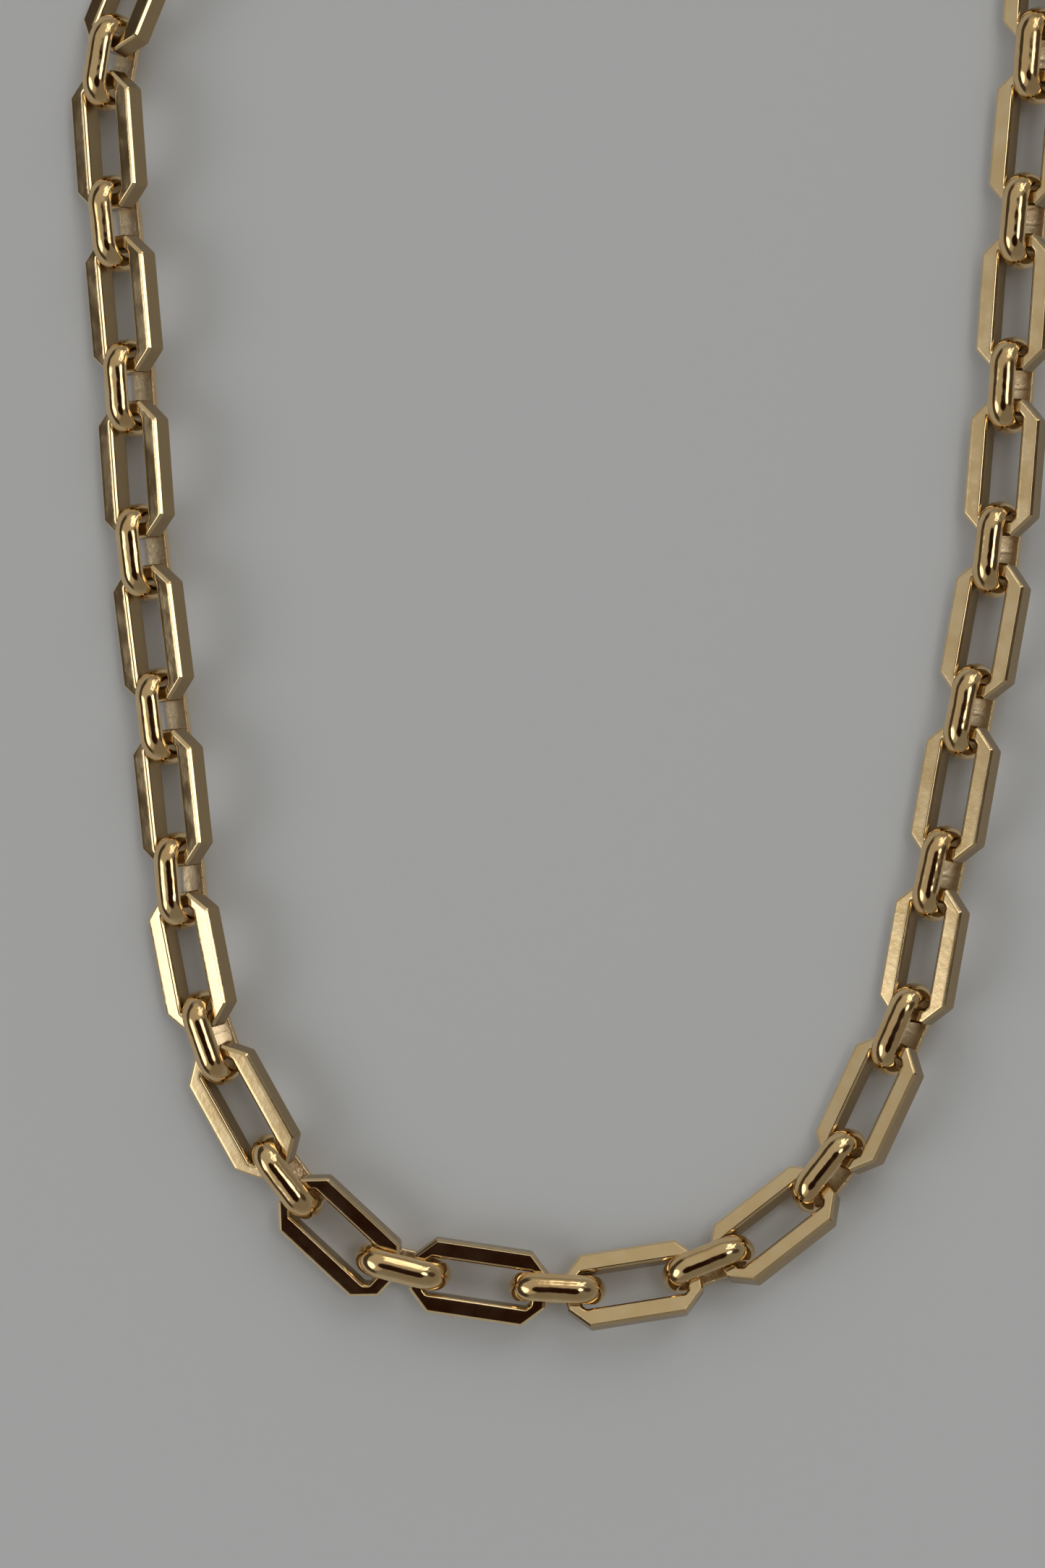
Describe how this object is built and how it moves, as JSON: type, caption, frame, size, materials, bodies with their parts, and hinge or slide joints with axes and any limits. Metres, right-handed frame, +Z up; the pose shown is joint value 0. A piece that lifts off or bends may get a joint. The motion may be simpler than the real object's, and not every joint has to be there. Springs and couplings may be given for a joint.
{
  "type": "chain necklace",
  "caption": "Gold-plated chain necklace of flat octagonal frame links joined by domed oval links, with a lobster clasp, lying open.",
  "frame": {"origin": "on the surface that the necklace lies on, under the middle of its outline", "axes": "+Z up from the surface, +Y from the bottom of the loop towards the clasp, +X to the right"},
  "size_m": [0.1023, 0.2101, 0.0061],
  "materials": {
    "octagon_gold": "satin gold plate",
    "oval_gold": "polished gold plate",
    "clasp_gold": "polished gold plate",
    "spring_steel": "bare spring wire and pin"
  },
  "bodies": {
    "octagon_link_14": {"octagon_link_14": "octagon_gold"},
    "oval_link_14": {"oval_link_14": "oval_gold"},
    "oval_link_15": {"oval_link_15": "oval_gold"},
    "octagon_link_13": {"octagon_link_13": "octagon_gold"},
    "octagon_link_15": {"octagon_link_15": "octagon_gold"},
    "oval_link_13": {"oval_link_13": "oval_gold"},
    "oval_link_16": {"oval_link_16": "oval_gold"},
    "octagon_link_12": {"octagon_link_12": "octagon_gold"},
    "octagon_link_16": {"octagon_link_16": "octagon_gold"},
    "oval_link_12": {"oval_link_12": "oval_gold"},
    "oval_link_17": {"oval_link_17": "oval_gold"},
    "octagon_link_11": {"octagon_link_11": "octagon_gold"},
    "octagon_link_17": {"octagon_link_17": "octagon_gold"},
    "oval_link_11": {"oval_link_11": "oval_gold"},
    "oval_link_18": {"oval_link_18": "oval_gold"},
    "octagon_link_10": {"octagon_link_10": "octagon_gold"},
    "octagon_link_18": {"octagon_link_18": "octagon_gold"},
    "oval_link_10": {"oval_link_10": "oval_gold"},
    "oval_link_19": {"oval_link_19": "oval_gold"},
    "octagon_link_09": {"octagon_link_09": "octagon_gold"},
    "octagon_link_19": {"octagon_link_19": "octagon_gold"},
    "oval_link_09": {"oval_link_09": "oval_gold"},
    "oval_link_20": {"oval_link_20": "oval_gold"},
    "octagon_link_08": {"octagon_link_08": "octagon_gold"},
    "octagon_link_20": {"octagon_link_20": "octagon_gold"},
    "oval_link_08": {"oval_link_08": "oval_gold"},
    "oval_link_21": {"oval_link_21": "oval_gold"},
    "octagon_link_07": {"octagon_link_07": "octagon_gold"},
    "octagon_link_21": {"octagon_link_21": "octagon_gold"},
    "oval_link_07": {"oval_link_07": "oval_gold"},
    "oval_link_22": {"oval_link_22": "oval_gold"},
    "octagon_link_06": {"octagon_link_06": "octagon_gold"},
    "octagon_link_22": {"octagon_link_22": "octagon_gold"},
    "oval_link_06": {"oval_link_06": "oval_gold"},
    "oval_link_23": {"oval_link_23": "oval_gold"},
    "octagon_link_05": {"octagon_link_05": "octagon_gold"},
    "octagon_link_23": {"octagon_link_23": "octagon_gold"},
    "oval_link_05": {"oval_link_05": "oval_gold"},
    "oval_link_24": {"oval_link_24": "oval_gold"},
    "octagon_link_04": {"octagon_link_04": "octagon_gold"},
    "octagon_link_24": {"octagon_link_24": "octagon_gold"},
    "oval_link_04": {"oval_link_04": "oval_gold"},
    "oval_link_25": {"oval_link_25": "oval_gold"},
    "octagon_link_03": {"octagon_link_03": "octagon_gold"},
    "octagon_link_25": {"octagon_link_25": "octagon_gold"},
    "oval_link_03": {"oval_link_03": "oval_gold"},
    "oval_link_26": {"oval_link_26": "oval_gold"},
    "octagon_link_02": {"octagon_link_02": "octagon_gold"},
    "octagon_link_26": {"octagon_link_26": "octagon_gold"},
    "oval_link_02": {"oval_link_02": "oval_gold"},
    "oval_link_27": {"oval_link_27": "oval_gold"},
    "octagon_link_01": {"octagon_link_01": "octagon_gold"},
    "octagon_link_27": {"octagon_link_27": "octagon_gold"},
    "oval_link_01": {"oval_link_01": "oval_gold"},
    "clasp_jump_ring": {"clasp_jump_ring": "clasp_gold"},
    "clasp_body": {"clasp_body": "clasp_gold", "clasp_pin": "spring_steel", "clasp_spring": "spring_steel"},
    "clasp_lever": {"clasp_lever": "clasp_gold"}
  },
  "joints": [
    {"name": "swing_oval_link_14", "type": "hinge", "parent": "octagon_link_14", "child": "oval_link_14", "pos_m": [-0.01599, -0.09984, 0.00306], "axis": [-0.2412, -0.9673, -0.0785], "range_deg": [-70, 70]},
    {"name": "swing_oval_link_15", "type": "hinge", "parent": "octagon_link_14", "child": "oval_link_15", "pos_m": [-0.00426, -0.1016, 0.00303], "axis": [0.0518, 0.9877, -0.1478], "range_deg": [-70, 70]},
    {"name": "bend_octagon_link_13", "type": "hinge", "parent": "oval_link_14", "child": "octagon_link_13", "pos_m": [-0.02189, -0.09835, 0.00292], "axis": [0.0949, 0.1018, -0.9903], "range_deg": [-39, 5]},
    {"name": "bend_octagon_link_15", "type": "hinge", "parent": "oval_link_15", "child": "octagon_link_15", "pos_m": [0.00182, -0.10187, 0.00314], "axis": [-0.0483, 0.3052, 0.9511], "range_deg": [-21, 5]},
    {"name": "swing_oval_link_13", "type": "hinge", "parent": "octagon_link_13", "child": "oval_link_13", "pos_m": [-0.02815, -0.09196, 0.00301], "axis": [0.7766, 0.5852, 0.2334], "range_deg": [-70, 70]},
    {"name": "swing_oval_link_16", "type": "hinge", "parent": "octagon_link_15", "child": "oval_link_16", "pos_m": [0.01094, -0.09993, 0.00293], "axis": [0.3448, -0.8535, 0.3907], "range_deg": [-70, 70]},
    {"name": "bend_octagon_link_12", "type": "hinge", "parent": "oval_link_13", "child": "octagon_link_12", "pos_m": [-0.03179, -0.08707, 0.00284], "axis": [-0.2847, -0.1578, 0.9455], "range_deg": [-5, 18]},
    {"name": "bend_octagon_link_16", "type": "hinge", "parent": "oval_link_16", "child": "octagon_link_16", "pos_m": [0.01651, -0.09753, 0.00314], "axis": [0.289, -0.3699, -0.8829], "range_deg": [-5, 24]},
    {"name": "swing_oval_link_12", "type": "hinge", "parent": "octagon_link_12", "child": "oval_link_12", "pos_m": [-0.03617, -0.07839, 0.00294], "axis": [-0.8534, -0.2939, -0.4305], "range_deg": [-70, 70]},
    {"name": "swing_oval_link_17", "type": "hinge", "parent": "octagon_link_16", "child": "oval_link_17", "pos_m": [0.02362, -0.0914, 0.00284], "axis": [-0.679, 0.5305, -0.5075], "range_deg": [-70, 70]},
    {"name": "bend_octagon_link_11", "type": "hinge", "parent": "oval_link_12", "child": "octagon_link_11", "pos_m": [-0.03808, -0.07261, 0.00276], "axis": [0.4908, 0.0954, -0.866], "range_deg": [-17, 5]},
    {"name": "bend_octagon_link_17", "type": "hinge", "parent": "oval_link_17", "child": "octagon_link_17", "pos_m": [0.02724, -0.08653, 0.00295], "axis": [-0.4668, 0.2177, 0.8572], "range_deg": [-21, 5]},
    {"name": "swing_oval_link_11", "type": "hinge", "parent": "octagon_link_11", "child": "oval_link_11", "pos_m": [-0.03979, -0.06282, 0.00286], "axis": [0.8008, 0.0701, 0.5948], "range_deg": [-70, 70]},
    {"name": "swing_oval_link_18", "type": "hinge", "parent": "octagon_link_17", "child": "oval_link_18", "pos_m": [0.03136, -0.07756, 0.00278], "axis": [0.754, -0.3201, 0.5736], "range_deg": [-70, 70]},
    {"name": "bend_octagon_link_10", "type": "hinge", "parent": "oval_link_11", "child": "octagon_link_10", "pos_m": [-0.04033, -0.05674, 0.00288], "axis": [-0.5417, -0.0569, 0.8387], "range_deg": [-11, 9]},
    {"name": "bend_octagon_link_18", "type": "hinge", "parent": "oval_link_18", "child": "octagon_link_18", "pos_m": [0.03361, -0.07192, 0.00286], "axis": [0.5072, -0.0894, -0.8572], "range_deg": [-5, 21]},
    {"name": "swing_oval_link_10", "type": "hinge", "parent": "octagon_link_10", "child": "oval_link_10", "pos_m": [-0.04144, -0.04645, 0.00287], "axis": [-0.7714, -0.0947, -0.6293], "range_deg": [-70, 70]},
    {"name": "swing_oval_link_19", "type": "hinge", "parent": "octagon_link_18", "child": "oval_link_19", "pos_m": [0.0354, -0.06211, 0.00283], "axis": [-0.7812, 0.166, -0.6018], "range_deg": [-70, 70]},
    {"name": "bend_octagon_link_09", "type": "hinge", "parent": "oval_link_10", "child": "octagon_link_09", "pos_m": [-0.04219, -0.0404, 0.00288], "axis": [0.5406, 0.0664, -0.8387], "range_deg": [-10, 10]},
    {"name": "bend_octagon_link_19", "type": "hinge", "parent": "oval_link_19", "child": "octagon_link_19", "pos_m": [0.03664, -0.05613, 0.0028], "axis": [-0.5072, 0.0894, 0.8572], "range_deg": [-12, 8]},
    {"name": "swing_oval_link_09", "type": "hinge", "parent": "octagon_link_09", "child": "oval_link_09", "pos_m": [-0.04344, -0.03009, 0.00291], "axis": [0.7722, 0.088, 0.6293], "range_deg": [-70, 70]},
    {"name": "swing_oval_link_20", "type": "hinge", "parent": "octagon_link_19", "child": "oval_link_20", "pos_m": [0.03847, -0.04597, 0.00281], "axis": [0.7891, -0.1534, 0.5948], "range_deg": [-70, 70]},
    {"name": "bend_octagon_link_08", "type": "hinge", "parent": "oval_link_09", "child": "octagon_link_08", "pos_m": [-0.0441, -0.02402, 0.00288], "axis": [-0.5433, -0.038, 0.8387], "range_deg": [-8, 12]},
    {"name": "bend_octagon_link_20", "type": "hinge", "parent": "oval_link_20", "child": "octagon_link_20", "pos_m": [0.03962, -0.03998, 0.00281], "axis": [0.4924, -0.0868, -0.866], "range_deg": [-9, 11]},
    {"name": "swing_oval_link_08", "type": "hinge", "parent": "octagon_link_08", "child": "oval_link_08", "pos_m": [-0.04482, -0.01371, 0.00287], "axis": [-0.7753, -0.0542, -0.6293], "range_deg": [-70, 70]},
    {"name": "swing_oval_link_21", "type": "hinge", "parent": "octagon_link_20", "child": "oval_link_21", "pos_m": [0.0413, -0.02984, 0.00278], "axis": [-0.8139, 0.0927, -0.5736], "range_deg": [-70, 70]},
    {"name": "bend_octagon_link_07", "type": "hinge", "parent": "oval_link_08", "child": "octagon_link_07", "pos_m": [-0.04526, -0.00763, 0.00288], "axis": [0.5426, 0.0475, -0.8387], "range_deg": [-9, 11]},
    {"name": "bend_octagon_link_21", "type": "hinge", "parent": "oval_link_21", "child": "octagon_link_21", "pos_m": [0.04197, -0.02378, 0.00281], "axis": [-0.468, 0.0368, 0.8829], "range_deg": [-12, 8]},
    {"name": "swing_oval_link_07", "type": "hinge", "parent": "octagon_link_07", "child": "oval_link_07", "pos_m": [-0.04619, 0.00268, 0.00289], "axis": [0.7729, 0.0812, 0.6293], "range_deg": [-70, 70]},
    {"name": "swing_oval_link_22", "type": "hinge", "parent": "octagon_link_21", "child": "oval_link_22", "pos_m": [0.04276, -0.01347, 0.00279], "axis": [0.8221, -0.0575, 0.5664], "range_deg": [-70, 70]},
    {"name": "bend_octagon_link_06", "type": "hinge", "parent": "oval_link_07", "child": "octagon_link_06", "pos_m": [-0.0468, 0.00875, 0.00288], "axis": [-0.5433, -0.038, 0.8387], "range_deg": [-8, 12]},
    {"name": "bend_octagon_link_22", "type": "hinge", "parent": "oval_link_22", "child": "octagon_link_22", "pos_m": [0.04319, -0.00738, 0.00277], "axis": [0.4836, -0.0338, -0.8746], "range_deg": [-10, 10]},
    {"name": "swing_oval_link_06", "type": "hinge", "parent": "octagon_link_06", "child": "oval_link_06", "pos_m": [-0.04712, 0.01871, 0.00313], "axis": [-0.7783, 0.1233, -0.6157], "range_deg": [-70, 70]},
    {"name": "swing_oval_link_23", "type": "hinge", "parent": "octagon_link_22", "child": "oval_link_23", "pos_m": [0.04395, 0.00297, 0.00278], "axis": [-0.811, 0.071, -0.5807], "range_deg": [-70, 70]},
    {"name": "bend_octagon_link_05", "type": "hinge", "parent": "oval_link_06", "child": "octagon_link_05", "pos_m": [-0.04602, 0.02468, 0.00288], "axis": [0.505, -0.204, -0.8387], "range_deg": [-21, 5]},
    {"name": "bend_octagon_link_23", "type": "hinge", "parent": "oval_link_23", "child": "octagon_link_23", "pos_m": [0.04448, 0.00904, 0.00277], "axis": [-0.4981, 0.0436, 0.866], "range_deg": [-10, 10]},
    {"name": "swing_oval_link_05", "type": "hinge", "parent": "octagon_link_05", "child": "oval_link_05", "pos_m": [-0.04228, 0.03401, 0.00286], "axis": [0.7255, -0.2785, 0.6293], "range_deg": [-70, 70]},
    {"name": "swing_oval_link_24", "type": "hinge", "parent": "octagon_link_23", "child": "oval_link_24", "pos_m": [0.04537, 0.01939, 0.00277], "axis": [0.8065, -0.0635, 0.5878], "range_deg": [-70, 70]},
    {"name": "bend_octagon_link_04", "type": "hinge", "parent": "oval_link_05", "child": "octagon_link_04", "pos_m": [-0.0401, 0.03971, 0.00288], "axis": [-0.5118, 0.1863, 0.8387], "range_deg": [-11, 9]},
    {"name": "bend_octagon_link_24", "type": "hinge", "parent": "oval_link_24", "child": "octagon_link_24", "pos_m": [0.04584, 0.02547, 0.00278], "axis": [0.4988, -0.0349, -0.866], "range_deg": [-10, 10]},
    {"name": "swing_oval_link_04", "type": "hinge", "parent": "octagon_link_04", "child": "oval_link_04", "pos_m": [-0.03663, 0.04943, 0.00284], "axis": [-0.7391, 0.2402, -0.6293], "range_deg": [-70, 70]},
    {"name": "swing_oval_link_25", "type": "hinge", "parent": "octagon_link_24", "child": "oval_link_25", "pos_m": [0.04653, 0.03581, 0.00276], "axis": [-0.8079, 0.0423, -0.5878], "range_deg": [-70, 70]},
    {"name": "bend_octagon_link_03", "type": "hinge", "parent": "oval_link_04", "child": "octagon_link_03", "pos_m": [-0.03477, 0.05524, 0.00288], "axis": [0.5235, -0.1501, -0.8387], "range_deg": [-8, 12]},
    {"name": "bend_octagon_link_25", "type": "hinge", "parent": "oval_link_25", "child": "octagon_link_25", "pos_m": [0.04684, 0.0419, 0.00278], "axis": [-0.4997, 0.0175, 0.866], "range_deg": [-11, 9]},
    {"name": "swing_oval_link_03", "type": "hinge", "parent": "octagon_link_03", "child": "oval_link_03", "pos_m": [-0.03202, 0.06513, 0.00282], "axis": [0.7572, -0.1748, 0.6293], "range_deg": [-70, 70]},
    {"name": "swing_oval_link_26", "type": "hinge", "parent": "octagon_link_25", "child": "oval_link_26", "pos_m": [0.04719, 0.05226, 0.00277], "axis": [0.8087, -0.0212, 0.5878], "range_deg": [-70, 70]},
    {"name": "bend_octagon_link_02", "type": "hinge", "parent": "oval_link_03", "child": "octagon_link_02", "pos_m": [-0.03068, 0.07108, 0.00288], "axis": [-0.5364, 0.0946, 0.8387], "range_deg": [-13, 7]},
    {"name": "bend_octagon_link_26", "type": "hinge", "parent": "oval_link_26", "child": "octagon_link_26", "pos_m": [0.04734, 0.05836, 0.00277], "axis": [0.4999, -0.0087, -0.866], "range_deg": [-10, 10]},
    {"name": "swing_oval_link_02", "type": "hinge", "parent": "octagon_link_02", "child": "oval_link_02", "pos_m": [-0.02896, 0.08121, 0.00284], "axis": [-0.7696, 0.1082, -0.6293], "range_deg": [-70, 70]},
    {"name": "swing_oval_link_27", "type": "hinge", "parent": "octagon_link_26", "child": "oval_link_27", "pos_m": [0.04751, 0.06873, 0.00276], "axis": [-0.809, 0.0071, -0.5878], "range_deg": [-70, 70]},
    {"name": "bend_octagon_link_01", "type": "hinge", "parent": "oval_link_02", "child": "octagon_link_01", "pos_m": [-0.02813, 0.08726, 0.00288], "axis": [0.5417, -0.0569, -0.8387], "range_deg": [-8, 12]},
    {"name": "bend_octagon_link_27", "type": "hinge", "parent": "oval_link_27", "child": "octagon_link_27", "pos_m": [0.04755, 0.07483, 0.00277], "axis": [-0.5, 0, 0.866], "range_deg": [-10, 10]},
    {"name": "swing_oval_link_01", "type": "hinge", "parent": "octagon_link_01", "child": "oval_link_01", "pos_m": [-0.02708, 0.09753, 0.00286], "axis": [0.7742, -0.0677, 0.6293], "range_deg": [-70, 70]},
    {"name": "swing_clasp_jump_ring", "type": "hinge", "parent": "octagon_link_27", "child": "clasp_jump_ring", "pos_m": [0.04755, 0.0849, 0.00277], "axis": [-0.809, 0, -0.5878], "range_deg": [-70, 70]},
    {"name": "turn_clasp", "type": "hinge", "parent": "clasp_jump_ring", "child": "clasp_body", "pos_m": [0.04755, 0.0888, 0.00303], "axis": [-0.4695, 0, 0.8829], "range_deg": [-45, 45]},
    {"name": "open_clasp_lever", "type": "hinge", "parent": "clasp_body", "child": "clasp_lever", "pos_m": [0.04591, 0.09398, 0.00215], "axis": [0.4695, 0, -0.8829], "range_deg": [0, 28], "stiffness_Nm_per_rad": 0.01, "springref_deg": -14.32, "deforming": ["clasp_spring"]}
  ]
}
